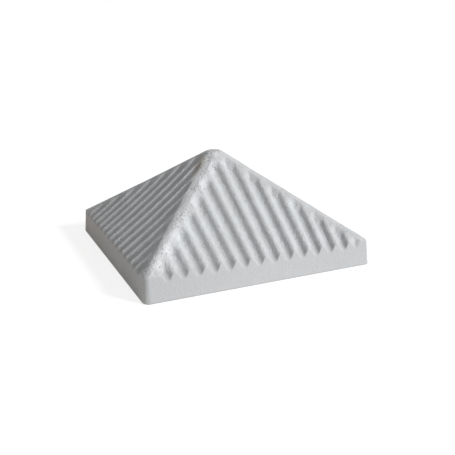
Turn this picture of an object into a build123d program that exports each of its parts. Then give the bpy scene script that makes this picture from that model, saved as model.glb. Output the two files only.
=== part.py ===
from build123d import *
from math import asin, atan, cos, radians, sin, sqrt, tan
import os

# A pillar cap: one solid casting with an upright fascia and four fluted slopes.
# Millimetres and degrees. Z is up, X runs along the front, and the origin is the
# middle of the underside.

# Block
base_side = 300.0            # side of the square underside
fascia_height = 34.0         # underside to the eave, where the slopes begin
fascia_draft = 5.0           # lean of the fascia from upright
corner_radius = 3.0          # upright corners of the fascia
near_corner_radius = 9.0     # the one worn corner, at -X -Y

# Slopes
slope_angle = 36.5           # rise of each slope from level
hip_radius = 22.0            # rounding along the four hips
tip_drop = 6.4               # how far the worn tip lies under the meeting point of the slopes
tip_ease = 5.5               # how much flatter than the hips the tip's edge is
bottom_edge_radius = 2.0     # rounding of the underside's outer edge

# Flutes, which run up each slope
flute_pitch = 19.4           # crest to crest
flute_depth = 5.8            # crest to bottom, square to the slope
flute_shift = 3.4            # each row's shift towards the worn corner's side
front_lean = 3.0             # lean of the front and back rows, going up, towards that side
side_lean = 0.0              # the same of the left and right rows
crest_radius = 5.0           # rounding of the crests between flutes
crest_drop = 1.2             # crests lie this much under the hip bands
front_hip_band = 10.5        # plain band from each hip line to the front and back flutes
side_hip_band = 9.5          # the same to the left and right flutes
run_out_angle = 50.0         # climb of the flute ends up to the hip bands

# Drip groove under the overhang
drip_inset = 20.0            # edge of the underside to the middle of the groove
drip_width = 9.0
drip_corner_radius = 12.0

# Clearances of the cutting shapes beyond what they cut
reach = 40.0                 # past the edges of the block
flute_floor_margin = 1.5     # pocket floor under the flute bottoms
eave_margin = 1.0            # edges this near the eave are not taken for hips

# Worked out from the sizes above
eave_half = base_side / 2 - fascia_height * tan(radians(fascia_draft))
slope_length = eave_half / cos(radians(slope_angle))
apex_height = fascia_height + eave_half * tan(radians(slope_angle))
hip_rise = atan(tan(radians(slope_angle)) / sqrt(2))
hip_spread = atan(cos(radians(slope_angle)))
flute_count = int(2 * eave_half / flute_pitch) + 2

# Shared by the flutes: each hollow is an arc that runs tangent into the crest arcs
radii_sum = ((flute_pitch / 2) ** 2 + flute_depth ** 2) / (2 * flute_depth)
flute_radius = radii_sum - crest_radius
flute_half_arc = asin(flute_pitch / 2 / radii_sum)


def slope_plane():
    """The front slope: X along the eave, Y up the slope, Z outwards."""
    angle = radians(slope_angle)
    foot = Vector(0, -eave_half, fascia_height)
    return Plane(foot, x_dir=(1, 0, 0), z_dir=(0, -sin(angle), cos(angle)))


def across_the_flutes(lean):
    """The plane that cuts the front slope's flutes square: X across them, Y outwards."""
    slope = slope_plane()
    up_the_flutes = slope.y_dir.rotate(Axis((0, 0, 0), slope.z_dir), lean)
    across = up_the_flutes.cross(slope.z_dir)
    return Plane(slope.origin - up_the_flutes * reach, x_dir=across, z_dir=-up_the_flutes)


def flute_middle(index):
    """Place along the eave of the middle of one flute, counted from the left."""
    return (index - (flute_count - 1) / 2) * flute_pitch - flute_shift


def flute_field(lean, hip_band):
    """What is cut from the front slope: a pocket inside the hip bands whose edges climb
    out, kept only where it lies over the row of flutes."""
    depth = crest_drop + flute_depth + flute_floor_margin
    pocket_top = slope_length - hip_band / sin(hip_spread)
    foot_half = (pocket_top + reach) * tan(hip_spread)
    hollow_centre = flute_radius - flute_depth - crest_drop
    join_x = flute_radius * sin(flute_half_arc)
    join_z = hollow_centre - flute_radius * cos(flute_half_arc)

    with BuildPart() as field:
        with BuildSketch(slope_plane()):
            with BuildLine():
                Polyline(
                    (-foot_half, -reach),
                    (foot_half, -reach),
                    (0, pocket_top),
                    close=True,
                )
            make_face()
        extrude(amount=-depth, taper=90 - run_out_angle)

        with BuildSketch(across_the_flutes(lean)):
            with BuildLine():
                for index in range(flute_count):
                    middle = flute_middle(index)
                    ThreePointArc(
                        (middle - join_x, join_z),
                        (middle, hollow_centre - flute_radius),
                        (middle + join_x, join_z),
                    )
                    if index < flute_count - 1:
                        ThreePointArc(
                            (middle + join_x, join_z),
                            (middle + flute_pitch / 2, -crest_drop),
                            (middle + flute_pitch - join_x, join_z),
                        )
                first = flute_middle(0) - join_x
                last = flute_middle(flute_count - 1) + join_x
                Polyline(
                    (first, join_z),
                    (first, depth),
                    (last, depth),
                    (last, join_z),
                )
            make_face()
        extrude(amount=-(slope_length + 2 * reach), mode=Mode.INTERSECT)
    return field.part


front_field = flute_field(front_lean, front_hip_band)
side_field = flute_field(side_lean, side_hip_band)


# The cap
with BuildPart() as pillar_cap:
    # Block with leaning fascia
    with BuildSketch() as outline:
        Rectangle(base_side, base_side)
        corners = outline.vertices().sort_by(Axis((0, 0, 0), (1, 1, 0)))
        fillet(corners[0], radius=near_corner_radius)
        fillet(corners[1:], radius=corner_radius)
    extrude(amount=apex_height, taper=fascia_draft)

    # Rounded outer edge of the underside
    underside = pillar_cap.faces().sort_by(Axis.Z)[0]
    fillet(underside.edges(), radius=bottom_edge_radius)

    # Two roof prisms crossed leave the four slopes
    for side in (Plane.XZ, Plane.YZ):
        with BuildSketch(side):
            with BuildLine():
                eave_out = reach / tan(radians(slope_angle))
                Polyline(
                    (-eave_half - eave_out, -reach),
                    (-eave_half - eave_out, fascia_height - reach),
                    (0, apex_height),
                    (eave_half + eave_out, fascia_height - reach),
                    (eave_half + eave_out, -reach),
                    close=True,
                )
            make_face()
        extrude(amount=base_side, both=True, mode=Mode.INTERSECT)

    # Rounded hips, which are the four longest edges above the eave
    eave_top = fascia_height + eave_margin
    above_eave = pillar_cap.edges().filter_by_position(Axis.Z, eave_top, apex_height)
    fillet(above_eave.sort_by(SortBy.LENGTH)[-4:], radius=hip_radius)

    # Flutes: the front field, the left one turned into place by a mirror on the near
    # diagonal, and the back and right ones, which face them as mirror images
    left_field = side_field.mirror(Plane((0, 0, 0), z_dir=(1, -1, 0)))
    back_field = front_field.mirror(Plane.XZ)
    right_field = left_field.mirror(Plane.YZ)
    add([front_field, left_field, back_field, right_field], mode=Mode.SUBTRACT)

    # Worn tip: a low dome that runs into a cone a little flatter than the hips
    edge_rise = hip_rise - radians(tip_ease)
    tip_radius = tip_drop / (sin(edge_rise) * tan(hip_rise) + cos(edge_rise) - 1)
    tip_top = apex_height - tip_drop
    tip_edge = tip_radius * sin(edge_rise)
    tip_edge_z = tip_top - tip_radius * (1 - cos(edge_rise))
    outer = base_side
    with BuildSketch(Plane.XZ):
        with BuildLine():
            RadiusArc((0, tip_top), (tip_edge, tip_edge_z), tip_radius)
            Polyline(
                (tip_edge, tip_edge_z),
                (outer, tip_edge_z - (outer - tip_edge) * tan(edge_rise)),
                (outer, -base_side),
                (0, -base_side),
                (0, tip_top),
            )
        make_face()
    revolve(axis=Axis.Z, mode=Mode.INTERSECT)

    # Drip groove: a half-round run around the underside
    groove_half = base_side / 2 - drip_inset
    with BuildLine() as groove_path:
        FilletPolyline(
            (-groove_half, -groove_half, 0),
            (groove_half, -groove_half, 0),
            (groove_half, groove_half, 0),
            (-groove_half, groove_half, 0),
            radius=drip_corner_radius,
            close=True,
        )
    with BuildSketch(Plane((0, -groove_half, 0), z_dir=(1, 0, 0))):
        Circle(drip_width / 2)
    sweep(path=groove_path.wire(), mode=Mode.SUBTRACT)

pillar_cap.part.label = "pillar_cap"

os.makedirs("parts", exist_ok=True)
export_step(pillar_cap.part, "parts/pillar_cap.step")
print("flutes on each slope:", flute_count)
print("volume in cubic centimetres:", round(pillar_cap.part.volume / 1000, 1))
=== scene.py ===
"""The looks of a fluted concrete pillar cap, laid out as an add-on and run as a script."""
import math

import bpy
import numpy as np
from bpy.props import FloatProperty, FloatVectorProperty, IntProperty, PointerProperty
from mathutils import Matrix, Vector


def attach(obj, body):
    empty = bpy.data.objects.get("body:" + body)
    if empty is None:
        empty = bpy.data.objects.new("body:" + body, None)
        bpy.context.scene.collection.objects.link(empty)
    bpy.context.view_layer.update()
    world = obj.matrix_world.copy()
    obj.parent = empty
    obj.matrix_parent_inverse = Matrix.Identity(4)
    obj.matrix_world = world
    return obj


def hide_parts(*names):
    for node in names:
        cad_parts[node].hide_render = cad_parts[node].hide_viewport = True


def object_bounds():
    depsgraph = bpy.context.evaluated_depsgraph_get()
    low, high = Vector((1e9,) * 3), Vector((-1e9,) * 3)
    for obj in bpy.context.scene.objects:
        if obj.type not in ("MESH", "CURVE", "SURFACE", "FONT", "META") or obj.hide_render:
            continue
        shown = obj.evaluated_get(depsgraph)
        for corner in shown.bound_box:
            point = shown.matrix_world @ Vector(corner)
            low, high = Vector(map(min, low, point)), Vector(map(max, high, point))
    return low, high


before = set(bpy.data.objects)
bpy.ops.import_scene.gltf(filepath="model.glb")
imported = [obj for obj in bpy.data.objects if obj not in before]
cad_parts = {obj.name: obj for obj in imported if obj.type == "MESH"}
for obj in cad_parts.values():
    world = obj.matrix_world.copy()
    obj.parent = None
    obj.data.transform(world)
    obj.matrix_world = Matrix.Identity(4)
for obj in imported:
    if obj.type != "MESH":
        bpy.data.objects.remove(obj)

CAD_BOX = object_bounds()
CAD_WIDTH = CAD_BOX[1][0] - CAD_BOX[0][0]

# Fineness of the mesh
PER_FLUTE = 14              # grid lines to each flute
EAVE_CURVE_ROWS = 4         # rows of faces over the eased edge of the eave
FASCIA_ROWS = 9             # rows down the fascia
BOTTOM_CURVE_ROWS = 6       # rows round the bottom edge
GROOVE_ROWS = 10            # rows round the drip groove
UNDERSIDE_SHARES = (0.75, 0.5, 0.25, 0.06)   # rings inside the groove, as shares of its inner edge

# Rounds that settle a place which depends on itself
END_ROUNDS = 4              # where a flute ends
EAVE_ROUNDS = 8             # where a slope meets the leaning fascia

# Widths over which one surface runs into another, in metres
TIP_BLEND = 0.0006          # hips into the worn tip
CORNER_BLEND = 0.004        # slopes into the worn near corner
BANK_BLEND = 0.0012         # flutes into the bank at their ends
BAND_BLEND = 0.0008         # flutes into the plain hip bands
CORNER_STEEPNESS = 1.8      # fall of the worn near corner, in slopes

bl_info = {
    "name": "Pillar cap",
    "version": (1, 0, 0),
    "blender": (4, 5, 0),
    "location": "3D View > Sidebar > Pillar cap",
    "description": "Builds a fluted cast concrete pillar cap and the studio it is pictured in",
    "category": "Add Mesh",
}


def number(name, description, default):
    """A plain number property."""
    return FloatProperty(name=name, description=description, default=default)


def length(name, description, default):
    """A length property in metres."""
    return FloatProperty(name=name, description=description, default=default,
                         unit="LENGTH", precision=4)


def angle(name, description, default):
    """An angle property, given in degrees and kept in radians."""
    return FloatProperty(name=name, description=description, default=math.radians(default),
                         unit="ROTATION")


def colour(name, description, default):
    """A linear colour property."""
    return FloatVectorProperty(name=name, description=description, default=default,
                               subtype="COLOR", min=0, max=1)


class CapSizes(bpy.types.PropertyGroup):
    """Sizes of the casting."""
    # Block
    width: length("Width", "Widest measure, over the rounded bottom edge", CAD_WIDTH)
    fascia_height: length("Fascia height", "Underside to the eave", 0.034)
    fascia_lean: angle("Fascia lean", "Lean of the fascia from upright", 5.0)
    corner_radius: length("Corner radius", "Upright corners at the underside", 0.0033)
    near_radius: length("Near corner radius", "The one worn corner, at -X -Y", 0.009)
    wear_reach: length("Corner wear", "How far in the near corner is worn down", 0.002)
    bottom_round: length("Bottom rounding", "Radius of the underside's outer edge", 0.002)
    eave_round: length("Eave rounding", "How far the eave's edge is eased", 0.0012)

    # Slopes, hips and tip
    slope: angle("Slope", "Rise of each slope from level", 36.5)
    hip_radius: length("Hip radius", "Rounding of the hips, half way up", 0.019)
    hip_taper: number("Hip taper", "Share of that rounding lost at the corners", 0.6)
    near_gain: number("Near gain", "Share of it that the near hip gains at the tip", 1.0)
    hip_wander: length("Hip wander", "Unevenness of the hip lines", 0.0009)
    tip_drop: length("Tip drop", "Worn tip below the meeting point of the slopes", 0.0064)
    tip_ease: angle("Tip ease", "How much flatter than the hips the tip's edge is", 5.5)

    # Flutes
    flute_count: IntProperty(name="Flutes", description="Flutes in each row, with a spare past each end",
                             default=17)
    flute_pitch: length("Flute pitch", "Crest to crest", 0.0194)
    flute_depth: length("Flute depth", "Crest to bottom, square to the slope", 0.0058)
    front_share: number("Front share", "Share of that depth in the front and back rows", 1.14)
    side_share: number("Side share", "Share of that depth in the side rows", 0.78)
    flute_shift: length("Flute shift", "The rows' shift towards the near corner", 0.0034)
    front_lean: angle("Front lean", "Lean of the front row's middle flute, going up, to the right", -3.0)
    front_fan: number("Front fan", "Change of that lean along the eave, in radians a metre", 0.85)
    side_lean: angle("Side lean", "Lean of the side rows at the eave, going up, to the back", -5.0)
    side_curl: number("Side curl", "Half the gain of that lean up the slope, in radians a metre", 0.9)
    crest_radius: length("Crest radius", "Rounding of the front and back crests", 0.005)
    side_crest: length("Side crest radius", "Rounding of the side crests", 0.0025)
    crest_drop: length("Crest drop", "Crests lie this much under the hip bands", 0.0004)
    hip_band: length("Hip band", "Plain band from the hip line to the front flutes' ends", 0.0065)
    side_band: length("Side band", "Plain band from the hip line to the side flutes' ends", 0.0065)
    nose: number("Nose", "Length of a flute's rounded end, in pitches", 0.45)
    run_out: angle("Run-out", "Climb of the flute ends to the hip bands", 50.0)

    # Underside and skin
    drip_inset: length("Drip inset", "Edge of the underside to the drip groove's middle", 0.020)
    drip_width: length("Drip width", "Width of the half-round drip groove", 0.009)
    drip_corner: length("Drip corner", "Corner radius of the drip groove", 0.012)
    waviness: length("Waviness", "Depth of the hand-cast unevenness", 0.0004)


class CapFinish(bpy.types.PropertyGroup):
    """Colours of the concrete."""
    cement: colour("Cement", "Main colour of the cast face", (0.595, 0.61, 0.632))
    pale: colour("Pale bloom", "Lighter cement skin", (0.68, 0.695, 0.72))
    # Painted light: the colour of a lighter band along the near hip
    worn: colour("Worn hip", "Bleached cement along the near hip", (0.76, 0.775, 0.80))
    dark: colour("Damp grey", "Darker cloudy patches", (0.52, 0.53, 0.53))
    sand: colour("Sand", "Warm sand grains that show in the skin", (0.52, 0.48, 0.40))
    # Painted shade: the dark inside of the air pits and of small pores
    pit_shade: colour("Pore", "Inside of the air pits", (0.26, 0.26, 0.26))
    # Painted shade: a darker grey laid over the fascia
    splash: colour("Splash", "Rain-splashed grey of the fascia", (0.437, 0.442, 0.451))
    # A faint brown tinge on the left fascia and beside the tip
    brown_tinge: colour("Stain", "Faint rust-brown tinge", (0.46, 0.38, 0.30))


class StudioSizes(bpy.types.PropertyGroup):
    """Camera and lights."""
    azimuth: angle("Camera azimuth", "Turn of the view from straight on", -22.85)
    elevation: angle("Camera elevation", "Height of the view above level", 18.34)
    roll: angle("Camera roll", "Tilt of the picture", -1.13)
    distance: length("Camera distance", "Camera to the aim point", 1.0905)
    aim: FloatVectorProperty(name="Aim", description="Point the camera looks at",
                             default=(0.0467, 0.0691, 0.0), subtype="TRANSLATION", unit="LENGTH")
    lens: FloatProperty(name="Lens", description="Focal length on a frame 36 mm wide",
                        default=57.77, unit="CAMERA")
    key: number("Key", "Strength of the main lamp", 3.36)
    key_azimuth: angle("Key azimuth", "Main lamp, turned from straight on", 39.5)
    key_elevation: angle("Key elevation", "Main lamp's height above level", 28.5)
    key_spread: angle("Key spread", "Apparent size of the main lamp", 12.0)
    sky: number("Sky", "Strength of the even light all round", 0.352)
    floor_size: length("Floor size", "Side of the square floor", 12.0)


# Shape
def smooth_max(a, b, width):
    """The larger of a and b, rounded where they differ by less than width: what is added there
    is (width - |a - b|) squared, over 4 widths."""
    gap = np.clip(width - np.abs(a - b), 0, None)
    return np.maximum(a, b) + gap * gap / (4 * width)


def smooth_min(a, b, width):
    """The smaller of a and b, rounded in the same way."""
    return -smooth_max(-a, -b, width)


def ramp(x, low, high):
    """0 below low, 1 above high, and a smooth S between."""
    t = np.clip((x - low) / (high - low), 0, 1)
    return t * t * (3 - 2 * t)


def waves(points, wavelength, count, seed):
    """Sum of count cosines of about that wavelength in seeded random directions, scaled to lie
    between about -1 and 1."""
    rng = np.random.default_rng(seed)
    direction = rng.normal(size=(3, count))
    direction /= np.linalg.norm(direction, axis=0)
    stretch = rng.uniform(0.7, 1.5, count)
    phase = rng.uniform(0, 2 * np.pi, count)
    turn = points @ (direction * (2 * np.pi / wavelength) * stretch) + phase
    return np.cos(turn).sum(axis=-1) * 2.2 / count


class CapShape:
    """The casting's outer surface as functions of plan position."""

    def __init__(self, sizes):
        s = self.sizes = sizes
        lean = s.fascia_lean
        self.foot_half = s.width / 2 + s.bottom_round * ((1 + math.sin(lean)) / math.cos(lean) - 1)
        self.eave_half = self.foot_half - s.fascia_height * math.tan(lean)
        self.rise = math.tan(s.slope)
        self.apex = s.fascia_height + self.eave_half * self.rise
        self.hip_rise = math.atan(self.rise / math.sqrt(2))
        self.hip_spread = math.atan(math.cos(s.slope))

        # Radii of a hollow and a crest together, where the two arcs run tangent half a pitch apart
        half_pitch = s.flute_pitch / 2
        self.radii_sum = (half_pitch ** 2 + s.flute_depth ** 2) / (2 * s.flute_depth)

        # Width of the smooth maximum that takes as much off a hip as its radius does
        half_angle = math.atan(math.sin(s.slope) / math.sqrt(1 + math.cos(s.slope) ** 2))
        hip_lost = s.hip_radius * (1 / math.cos(half_angle) - 1)
        self.hip_width = 4 * hip_lost / math.cos(self.hip_rise) / self.rise

    def fascia_half(self, z):
        """Half side of the outline at height z on the leaning fascia."""
        return self.foot_half - z * math.tan(self.sizes.fascia_lean)

    def hollow(self, off_middle, crest_radius):
        """Depth square to the slope at that distance from a flute's middle line: an arc for the
        hollow that runs tangent into an arc of the crest radius, and level with the crest beyond
        half a pitch."""
        s = self.sizes
        half = s.flute_pitch / 2
        flute_radius = self.radii_sum - crest_radius
        join = flute_radius * half / self.radii_sum
        inner = np.minimum(off_middle, join)
        outer = np.clip(half - off_middle, 0, half - join)
        bottom = s.crest_drop + s.flute_depth
        deep = bottom - flute_radius + np.sqrt(flute_radius ** 2 - inner ** 2)
        crest = s.crest_drop + crest_radius - np.sqrt(crest_radius ** 2 - outer ** 2)
        return np.where(off_middle < join, deep, crest)

    def flutes(self, x, y, front):
        """Depth of the flutes at (x, y), square to the slope. With v the way up the slope, the
        flute from f on the eave runs to f + v (tan lean + fan f + curl v), so f is
        (along - v tan lean - curl v v) / (1 + v fan). It ends in a ball's shape where its middle
        line meets the hip band."""
        s = self.sizes
        along = np.where(front, x, y)
        up = (self.eave_half - np.where(front, np.abs(y), np.abs(x))) / math.cos(s.slope)
        lean = np.where(front, math.tan(s.front_lean), math.tan(s.side_lean))
        fan = np.where(front, s.front_fan, 0.0)
        curl = np.where(front, 0.0, s.side_curl)
        band = np.where(front, s.hip_band, s.side_band) / math.cos(self.hip_spread)

        # The nearest flute's middle on the eave
        foot = (along - up * lean - curl * up * up) / (1 + up * fan)
        first = -(s.flute_count - 1) / 2 * s.flute_pitch - s.flute_shift
        index = np.clip(np.round((foot - first) / s.flute_pitch), 0, s.flute_count - 1)
        middle = first + index * s.flute_pitch

        # How far up its middle line meets the right or the left hip band, whichever is first
        end = np.full_like(up, self.eave_half)
        for _ in range(END_ROUNDS):
            sway = lean + fan * middle + curl * end
            right = (self.eave_half - band - middle) / (math.cos(s.slope) + sway)
            left = (self.eave_half - band + middle) / (math.cos(s.slope) - sway)
            end = np.minimum(right, left)

        past_nose = np.clip(s.flute_pitch * s.nose + up - end, 0, None)
        off_middle = np.hypot(foot - middle, past_nose)
        depth = self.hollow(off_middle, np.where(front, s.crest_radius, s.side_crest))
        return depth * np.where(front, s.front_share, s.side_share)

    def hips(self, x, y):
        """Height of the plain pyramid with its hips worn round: apex - rise max(|x|, |y|), smoothed
        over a width that shrinks to the corners, with waves added to |x| and taken from |y| to make
        the hips wander."""
        s = self.sizes
        plan = np.stack([x, y, 0 * x], axis=-1)
        coarse = waves(plan, wavelength=0.035, count=24, seed=7)
        fine = waves(plan, wavelength=0.014, count=24, seed=8)
        wander = s.hip_wander * (coarse + 0.3 * fine)
        a, b = np.abs(x) + wander, np.abs(y) - wander
        up_hip = 1 - 2 * np.minimum(a, b) / self.eave_half
        into_near = ramp(-np.maximum(x, y), 0, 0.02)
        gain = np.where((x < 0) & (y < 0), s.near_gain * into_near, 0.0)
        share = 1 + s.hip_taper * np.minimum(up_hip, 0) + gain * np.maximum(up_hip, 0)
        return self.apex - self.rise * smooth_max(a, b, self.hip_width * share)

    def tip(self, x, y):
        """Height of the worn tip: a low ball's shape that runs into a cone a little flatter than
        the hips."""
        s = self.sizes
        edge = self.hip_rise - s.tip_ease
        radius = s.tip_drop / (math.sin(edge) * math.tan(self.hip_rise) + math.cos(edge) - 1)
        r = np.hypot(x, y)
        within = np.minimum(r, radius * math.sin(edge))
        ball = self.apex - s.tip_drop - radius + np.sqrt(radius ** 2 - within ** 2)
        return ball - (r - within) * math.tan(edge)

    def worn_corner(self, x, y):
        """Height of the plane that wears down the near corner. It falls along the diagonal."""
        from_corner = self.eave_half + (x + y) / 2 - self.sizes.wear_reach
        return self.sizes.fascia_height + from_corner * CORNER_STEEPNESS * self.rise

    def top(self, x, y):
        """Height over the plan point (x, y): the rounded hips, the tip and the worn corner,
        whichever is lowest, less the flutes. Near the hips the flutes are limited by a bank that
        climbs out to the plain hip band."""
        s = self.sizes
        roof = smooth_min(self.hips(x, y), self.tip(x, y), TIP_BLEND)
        roof = smooth_min(roof, self.worn_corner(x, y), CORNER_BLEND)

        a, b = np.abs(x), np.abs(y)
        from_hip = np.abs(a - b) * math.cos(self.hip_spread)
        bank = (from_hip - np.where(b > a, s.hip_band, s.side_band)) * math.tan(s.run_out)
        relief = smooth_min(self.flutes(x, y, b > a), bank, BANK_BLEND)
        slope = self.apex - self.rise * np.maximum(a, b)
        return smooth_min(roof, slope - relief / math.cos(s.slope), BAND_BLEND)


def eave_lines(shape):
    """Grid lines across the eave: evenly spaced, with one at each crest. Three more close to
    either end make the points of the rounded corners."""
    s = shape.sizes
    edge = shape.eave_half - s.eave_round
    step = s.flute_pitch / PER_FLUTE
    first = -s.flute_count / 2 * s.flute_pitch - s.flute_shift
    lines = first + s.flute_pitch * (np.arange(s.flute_count * PER_FLUTE + 1) / PER_FLUTE)
    inside = lines[np.abs(lines) < edge - s.flute_pitch / 2]
    left_steps = max(1, round((inside[0] + edge) / step))
    right_steps = max(1, round((edge - inside[-1]) / step))
    left = np.linspace(-edge, inside[0], left_steps + 1)[:-1]
    right = np.linspace(inside[-1], edge, right_steps + 1)[1:]
    close = edge - np.array([0.9, 0.6, 0.3]) * s.eave_round
    return np.sort(np.concatenate([left, inside, right, close, -close]))


def rounded(x, y, out, corner, straight):
    """Square outlines through the plan points (x, y), turned into rounded ones of half side out.
    Sides keep their place up to corner, or shrink to a smaller straight. Past it, the points run
    round an arc of radius out - straight: straight + radius (cos t, sin t), t from 0 to 45 degrees."""
    far, least = np.maximum(np.abs(x), np.abs(y)), np.minimum(np.abs(x), np.abs(y))
    turn = np.clip((least - corner) / np.maximum(far - corner, 1e-9), 0, 1) * math.pi / 4
    in_corner = least > corner
    long_side = np.where(in_corner, straight + (out - straight) * np.cos(turn), out)
    shrunk = least * np.minimum(straight / corner, 1)
    short_side = np.where(in_corner, straight + (out - straight) * np.sin(turn), shrunk)
    x_longer = np.abs(x) >= np.abs(y)
    new_x = np.where(x_longer, long_side, short_side)
    new_y = np.where(x_longer, short_side, long_side)
    return np.sign(x) * new_x, np.sign(y) * new_y


def cap_surface(shape):
    """Points and faces of the closed casting: a square grid for the slopes, then rings down the
    fascia, round the bottom edge, through the drip groove and in to the underside's middle."""
    s = shape.sizes
    lines = eave_lines(shape)

    # Slopes, with the grid's corners pulled in to the rounded outline
    gx, gy = np.meshgrid(lines, lines)
    radius = np.where((gx < 0) & (gy < 0), s.near_radius, s.corner_radius)
    straight = shape.foot_half - radius
    corner = np.minimum(straight, lines[-1] - 0.95 * s.eave_round)
    px, py = rounded(gx, gy, np.maximum(np.abs(gx), np.abs(gy)), corner, corner)
    top = np.stack([px, py, shape.top(px, py)], axis=-1).reshape(-1, 3)

    # Border of that grid, in the order of the rings
    order = np.arange(gx.size).reshape(gx.shape)
    border = np.concatenate([order[0, :-1], order[:-1, -1], order[-1, :0:-1], order[:0:-1, 0]])
    rim_x, rim_y, rim_corner = gx.ravel()[border], gy.ravel()[border], corner.ravel()[border]

    def ring(half, z, straight=straight.ravel()[border]):
        """Rounded square of that half side at height z. Both may change on the way round."""
        x, y = rounded(rim_x, rim_y, half, rim_corner, straight)
        return np.stack([x, y, np.broadcast_to(z, x.shape)], axis=-1)

    # True edge where the slopes meet the leaning fascia
    z = np.full(len(border), s.fascia_height)
    for _ in range(EAVE_ROUNDS):
        edge = ring(shape.fascia_half(z), z)
        z = shape.top(edge[:, 0], edge[:, 1])

    # Eased over: a parabola from the grid's last row to below the edge
    edge = ring(shape.fascia_half(z), z)
    last_row = top[border]
    below = ring(shape.fascia_half(z - s.eave_round), z - s.eave_round)
    rings = [(1 - t) ** 2 * last_row + 2 * t * (1 - t) * edge + t * t * below
             for t in np.linspace(0, 1, EAVE_CURVE_ROWS + 1)[1:]]

    # Fascia, down to the bottom rounding
    lean = s.fascia_lean
    low = s.bottom_round * (1 + math.sin(lean))
    high = below[:, 2]
    for t in np.linspace(0, 1, FASCIA_ROWS + 1)[1:]:
        height = high + (low - high) * t
        rings.append(ring(shape.fascia_half(height), height))

    # Bottom rounding
    centre = shape.foot_half - low / math.cos(lean)
    for a in np.linspace(lean, -math.pi / 2, BOTTOM_CURVE_ROWS + 1)[1:]:
        rings.append(ring(centre + s.bottom_round * math.cos(a), s.bottom_round * (1 + math.sin(a))))

    # Drip groove, and the underside within it
    middle = shape.foot_half - s.drip_inset
    groove = s.drip_width / 2
    for a in np.linspace(0, math.pi, GROOVE_ROWS + 1):
        half, height = middle + groove * math.cos(a), groove * math.sin(a)
        rings.append(ring(half, height, middle - s.drip_corner))
    groove_edge = rings[-1]
    for share in UNDERSIDE_SHARES:
        rings.append(groove_edge * np.array([share, share, 1.0]))

    points = np.concatenate([top, *rings, np.zeros((1, 3))])
    return points, *cap_faces(order, border, len(rings))


def cap_faces(order, border, rings):
    """Outward faces of that surface: the grid's squares, bands from its border to ring after ring,
    and a fan of triangles to the last point."""
    first = order[:-1, :-1].ravel()
    across = order.shape[1]
    quads = [np.stack([first, first + 1, first + 1 + across, first + across], axis=-1)]
    count = len(border)
    upper = border
    for k in range(rings):
        lower = order.size + k * count + np.arange(count)
        band = np.stack([lower, np.roll(lower, -1), np.roll(upper, -1), upper], axis=-1)
        quads.append(band)
        upper = lower
    pole = np.full(count, order.size + rings * count)
    fan = np.stack([pole, np.roll(upper, -1), upper], axis=-1)
    return np.concatenate(quads), fan


def vertex_normals(points, quads, triangles):
    """Unit normals at the points, as the area-weighted sum of the faces round each."""
    q, t = points[quads], points[triangles]
    face_normals = ((quads, np.cross(q[:, 2] - q[:, 0], q[:, 3] - q[:, 1])),
                    (triangles, np.cross(t[:, 1] - t[:, 0], t[:, 2] - t[:, 0])))
    normals = np.zeros_like(points)
    for faces, normal in face_normals:
        for corner in range(faces.shape[1]):
            for axis in range(3):
                normals[:, axis] += np.bincount(faces[:, corner], normal[:, axis], len(points))
    return normals / np.linalg.norm(normals, axis=1, keepdims=True)


def hand_cast(points, normals, depth):
    """The points moved inward by 0 to depth, in broad and fine waves that fade out at the
    underside."""
    broad = waves(points, wavelength=0.05, count=24, seed=3)
    fine = waves(points, wavelength=0.012, count=40, seed=4)
    uneven = np.clip(0.5 + 0.35 * broad + 0.15 * fine, 0, 1)
    inward = depth * uneven * ramp(points[:, 2], 0.0, 0.006)
    return points - normals * inward[:, None]


def build_mesh(name, points, quads, triangles):
    """A smooth mesh from arrays of points, four-sided faces and three-sided faces."""
    mesh = bpy.data.meshes.new(name)
    corners = np.concatenate([quads.ravel(), triangles.ravel()])
    sides = np.concatenate([np.full(len(quads), 4), np.full(len(triangles), 3)])
    starts = np.concatenate([[0], np.cumsum(sides)[:-1]])
    mesh.vertices.add(len(points))
    mesh.vertices.foreach_set("co", points.astype(np.float32).ravel())
    mesh.loops.add(len(corners))
    mesh.loops.foreach_set("vertex_index", corners.astype(np.int32))
    mesh.polygons.add(len(sides))
    mesh.polygons.foreach_set("loop_start", starts.astype(np.int32))
    mesh.polygons.foreach_set("loop_total", sides.astype(np.int32))
    mesh.update(calc_edges=True)
    mesh.validate()
    mesh.shade_smooth()
    piece = bpy.data.objects.new(name, mesh)
    bpy.context.scene.collection.objects.link(piece)
    return piece


# Materials
class Value:
    """A number, colour or vector in a node tree. Arithmetic on numbers adds Math nodes."""

    def __init__(self, graph, socket):
        self.graph = graph
        self.socket = socket

    def output(self, name):
        """Another output of the node that this value comes from."""
        return Value(self.graph, self.socket.node.outputs[name])

    def __add__(self, other):
        return self.graph.maths("ADD", self, other)

    __radd__ = __add__

    def __sub__(self, other):
        return self.graph.maths("SUBTRACT", self, other)

    def __rsub__(self, other):
        return self.graph.maths("SUBTRACT", other, self)

    def __mul__(self, other):
        return self.graph.maths("MULTIPLY", self, other)

    __rmul__ = __mul__


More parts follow.
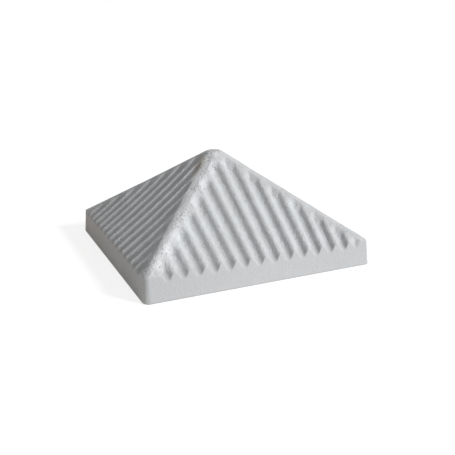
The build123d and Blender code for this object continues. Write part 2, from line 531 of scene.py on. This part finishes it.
class Graph:
    """The node tree of a material or world, built from calls."""

    def __init__(self, owner):
        owner.use_nodes = True
        self.tree = owner.node_tree
        self.tree.nodes.clear()

    def add(self, kind, settings=None, inputs=None, output=0):
        """Adds a node of that type, sets its settings, then its sockets, and returns one output."""
        node = self.tree.nodes.new(kind)
        for key, value in (settings or {}).items():
            if key == "stops":
                self.set_stops(node, value)
            else:
                setattr(node, key, value)
        pairs = enumerate(inputs) if isinstance(inputs, list) else (inputs or {}).items()
        for key, value in pairs:
            if isinstance(value, Value):
                self.tree.links.new(value.socket, node.inputs[key])
            else:
                node.inputs[key].default_value = value
        return Value(self, node.outputs[output]) if len(node.outputs) else None

    @staticmethod
    def set_stops(node, stops):
        """Gives a ramp its stops, each a place and a grey level."""
        elements = node.color_ramp.elements
        while len(elements) < len(stops):
            elements.new(0.5)
        for element, (place, level) in zip(elements, stops):
            element.position = place
            element.color = (level, level, level, 1)

    def maths(self, operation, *values):
        """A Math node on those numbers."""
        return self.add("ShaderNodeMath", {"operation": operation}, list(values))

    def mix(self, factor, first, second):
        """Two colours mixed by a factor. A plain colour has three numbers. The node's sockets go by
        number here, because those for colours share their names with those for other data."""
        a, b = (c if isinstance(c, Value) else (*c, 1) for c in (first, second))
        return self.add("ShaderNodeMix", {"data_type": "RGBA"}, {0: factor, 6: a, 7: b}, output=2)

    def curve(self, value, stops):
        """A number passed through a ramp of grey stops."""
        return self.add("ShaderNodeValToRGB", {"stops": stops}, [value])

    def span(self, value, start, end, low=0.0, high=1.0):
        """A number that goes smoothly from low where value is start to high where it is end."""
        return self.add("ShaderNodeMapRange", {"interpolation_type": "SMOOTHSTEP"},
                        {"Value": value, "From Min": start, "From Max": end,
                         "To Min": low, "To Max": high})


def concrete(finish):
    """Cast concrete: cloudy cement skin, warm sand speckle, air pits, and fine grain in the bump, with
    painted light along the near hip and painted shade in the pits, the pores and on the fascia.
    Lengths are metres in the casting's own frame, and each mask runs from 0 to 1."""
    material = bpy.data.materials.new("concrete")
    g = Graph(material)
    place = g.add("ShaderNodeTexCoord").output("Object")
    axes = g.add("ShaderNodeSeparateXYZ", {}, [place])
    across, along, up = axes.output("X"), axes.output("Y"), axes.output("Z")

    def noise(scale, detail, roughness=0.55):
        """Noise of that many cells a metre."""
        return g.add("ShaderNodeTexNoise", {}, {"Vector": place, "Scale": scale, "Detail": detail,
                                                "Roughness": roughness})

    clouds = noise(16.0, 4.0, 0.6)
    mottle = noise(95.0, 3.0, 0.6)
    grain = noise(400.0, 3.0, 0.7)
    speckle = noise(1500.0, 1.0, 0.5)

    # Where the near hip is: over the eave, before the other diagonal, and close to the hip line
    off_hip = g.maths("ABSOLUTE", across - along)
    near_side = g.span(across + along, 0.0, -0.02) * g.span(up, 0.034, 0.044)
    near_hip = g.span(off_hip, 0.028, 0.004) * near_side
    left_of_hip = g.span(across - along, 0.0, -0.008)

    # Air pits: a few of the cells hold one, and more of them in patches along the near hip
    cells = g.add("ShaderNodeTexVoronoi", {"feature": "F1"}, {"Vector": place, "Scale": 330.0})
    red = g.add("ShaderNodeSeparateXYZ", {}, [cells.output("Color")])
    patchy = g.span(noise(55.0, 2.0), 0.42, 0.62)
    likely = red + near_hip * g.span(patchy, 0.0, 0.5) * 0.42 + patchy * 0.04
    pit_size = g.span(likely, 0.94, 1.15, 0.0, 0.40)
    pits = g.span(cells - pit_size, 0.04, -0.10)

    # Skin: cloudy cement with a pale bloom, painted light along the near hip, sand grains, and painted
    # shade in fine pores
    skin = g.mix(g.curve(clouds, [(0.36, 0.4), (0.66, 1.0)]), finish.dark, finish.cement)
    skin = g.mix(g.curve(mottle, [(0.42, 0.0), (0.70, 0.5)]), skin, finish.pale)
    # Painted light: a lighter band along the near hip
    skin = g.mix(g.span(off_hip, 0.030, 0.006) * near_side * 0.55, skin, finish.worn)
    skin = g.mix(g.curve(grain, [(0.60, 0.0), (0.78, 0.25)]), skin, finish.sand)
    # Painted shade: fine dark speckle for the shade inside small pores
    skin = g.mix(g.curve(speckle, [(0.30, 0.20), (0.42, 0.0)]), skin, finish.pit_shade)

    # Painted shade: a darker grey over the fascia, strongest at the near corner and weak on the left side
    on_fascia = g.span(up, 0.036, 0.030)
    to_near = g.span(across, 0.0, -0.14, 0.80, 1.0)
    off_left = g.span(across, -0.1475, -0.144, 0.4)
    skin = g.mix(on_fascia * to_near * off_left, skin, finish.splash)

    # Brown tinge on the left fascia, more to the back, and beside the tip
    on_left = g.span(across, -0.1440, -0.1475) * g.span(along, -0.13, 0.12, 0.25, 0.55)
    skin = g.mix(on_left * g.span(mottle, 0.3, 0.7, 0.6, 1.0) * 0.7, skin, finish.brown_tinge)
    high_up = g.span(across, -0.010, -0.022) * g.span(up, 0.100, 0.122)
    by_tip = g.span(off_hip, 0.035, 0.012) * high_up
    skin = g.mix(by_tip * left_of_hip * 0.5, skin, finish.brown_tinge)
    # Painted shade: the air pits darkened inside
    skin = g.mix(pits * 0.75, skin, finish.pit_shade)

    # Relief: sandy grain, fainter on the fascia and coarser along the near hip
    rough_hip = near_hip * g.span(noise(60.0, 2.0), 0.30, 0.60)
    sandy = (grain - 0.5) * (g.span(up, 0.030, 0.036, 0.3, 1.3) + rough_hip * 1.2)
    coarse = (noise(260.0, 2.0) - 0.5) * rough_hip * 0.2
    relief = mottle * 0.08 + sandy + coarse - pits * 0.2
    bump = g.add("ShaderNodeBump", {}, {"Strength": 0.9, "Distance": 0.0023, "Height": relief})

    shader = g.add("ShaderNodeBsdfPrincipled", {}, {
        "Base Color": skin, "Roughness": 0.86 + grain * 0.12, "Normal": bump, "Specular IOR Level": 0.25})
    g.add("ShaderNodeOutputMaterial", {}, {"Surface": shader})
    return material


def grey(level):
    """A plain grey with its alpha."""
    return (level, level, level, 1)


def direct_view(g, plain, shown):
    """A shader that camera, glossy and transmission rays see as shown, and all other light as
    plain."""
    rays = g.add("ShaderNodeLightPath")
    seen = (rays.output("Is Camera Ray") + rays.output("Is Glossy Ray")
            + rays.output("Is Transmission Ray"))
    return g.add("ShaderNodeMixShader", {}, [seen, plain, shown])


def studio_floor():
    """Pale floor: the camera sees it as white with the object's shadow, and light sees a pale matt
    board."""
    material = bpy.data.materials.new("floor")
    g = Graph(material)
    board = g.add("ShaderNodeBsdfDiffuse", {}, {"Color": grey(0.8)})
    shadowed = g.add("ShaderNodeBsdfDiffuse", {}, {"Color": grey(0.30)})
    glow = g.add("ShaderNodeEmission", {}, {"Color": grey(1), "Strength": 0.80})
    white = g.add("ShaderNodeAddShader", {}, [shadowed, glow])
    g.add("ShaderNodeOutputMaterial", {}, {"Surface": direct_view(g, board, white)})
    return material


def studio_world(strength):
    """An even, slightly warm sky that the camera sees as white."""
    world = bpy.data.worlds.new("studio")
    g = Graph(world)
    sky = g.add("ShaderNodeBackground", {}, {"Color": (1.0, 0.99, 0.975, 1), "Strength": strength})
    white = g.add("ShaderNodeBackground", {}, {"Color": grey(1), "Strength": 1.0})
    g.add("ShaderNodeOutputWorld", {}, {"Surface": direct_view(g, sky, white)})
    return world


def aimed(azimuth, elevation, roll=0.0):
    """Turn of a camera or lamp that looks back along that azimuth and elevation."""
    back = Vector((math.sin(azimuth) * math.cos(elevation),
                   -math.cos(azimuth) * math.cos(elevation), math.sin(elevation)))
    right = Vector((0, 0, 1)).cross(back).normalized()
    up = back.cross(right)
    rolled_right = math.cos(roll) * right + math.sin(roll) * up
    rolled_up = math.cos(roll) * up - math.sin(roll) * right
    return Matrix((rolled_right, rolled_up, back)).transposed().to_4x4()


# Operators
class PILLARCAP_OT_casting(bpy.types.Operator):
    """Build the concrete casting in the place of the plain model"""
    bl_idname = "pillarcap.casting"
    bl_label = "Casting"

    def execute(self, context):
        sizes = context.scene.cap_sizes
        points, quads, triangles = cap_surface(CapShape(sizes))
        normals = vertex_normals(points, quads, triangles)
        points = hand_cast(points, normals, sizes.waviness)
        casting = build_mesh("casting", points, quads, triangles)
        casting.data.materials.append(concrete(context.scene.cap_finish))
        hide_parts("pillar_cap")
        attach(casting, "root")
        return {"FINISHED"}


class PILLARCAP_OT_stage(bpy.types.Operator):
    """Build the floor, lamp, world and camera"""
    bl_idname = "pillarcap.stage"
    bl_label = "Stage"

    def execute(self, context):
        scene = context.scene
        studio = scene.cap_studio
        scene.view_settings.view_transform = "Standard"
        scene.world = studio_world(studio.sky)

        half = studio.floor_size / 2
        corners = np.array([[-half, -half, 0], [half, -half, 0], [half, half, 0], [-half, half, 0]])
        floor = build_mesh("floor", corners, np.array([[0, 1, 2, 3]]), np.zeros((0, 3), int))
        floor.data.materials.append(studio_floor())

        lamp = bpy.data.lights.new("key", "SUN")
        lamp.energy = studio.key
        lamp.angle = studio.key_spread
        key = bpy.data.objects.new("key", lamp)
        key.matrix_world = aimed(studio.key_azimuth, studio.key_elevation)
        scene.collection.objects.link(key)

        camera = bpy.data.cameras.new("camera")
        camera.lens = studio.lens
        camera.sensor_fit = "HORIZONTAL"
        camera.sensor_width = 36
        viewer = bpy.data.objects.new("camera", camera)
        place = aimed(studio.azimuth, studio.elevation, studio.roll)
        place.translation = Vector(studio.aim) + studio.distance * place.col[2].to_3d()
        viewer.matrix_world = place
        scene.collection.objects.link(viewer)
        scene.camera = viewer
        return {"FINISHED"}


class PILLARCAP_PT_panel(bpy.types.Panel):
    """Panel that lists the operators and the sizes"""
    bl_idname = "PILLARCAP_PT_panel"
    bl_label = "Pillar cap"
    bl_space_type = "VIEW_3D"
    bl_region_type = "UI"
    bl_category = "Pillar cap"

    def draw(self, context):
        for operator in OPERATORS:
            self.layout.operator(operator.bl_idname)
        scene = context.scene
        for group in (scene.cap_sizes, scene.cap_finish, scene.cap_studio):
            box = self.layout.box()
            for name in group.__annotations__:
                box.prop(group, name)


OPERATORS = (PILLARCAP_OT_casting, PILLARCAP_OT_stage)
CLASSES = (CapSizes, CapFinish, StudioSizes, *OPERATORS, PILLARCAP_PT_panel)


def register():
    """Registers the classes and gives the scene its three groups of values."""
    for cls in CLASSES:
        bpy.utils.register_class(cls)
    bpy.types.Scene.cap_sizes = PointerProperty(type=CapSizes)
    bpy.types.Scene.cap_finish = PointerProperty(type=CapFinish)
    bpy.types.Scene.cap_studio = PointerProperty(type=StudioSizes)


def unregister():
    """Undoes register."""
    for name in ("cap_sizes", "cap_finish", "cap_studio"):
        delattr(bpy.types.Scene, name)
    for cls in reversed(CLASSES):
        bpy.utils.unregister_class(cls)


def main():
    """Builds the casting and its stage."""
    register()
    bpy.ops.pillarcap.casting()
    bpy.ops.pillarcap.stage()


if __name__ == "__main__":
    main()
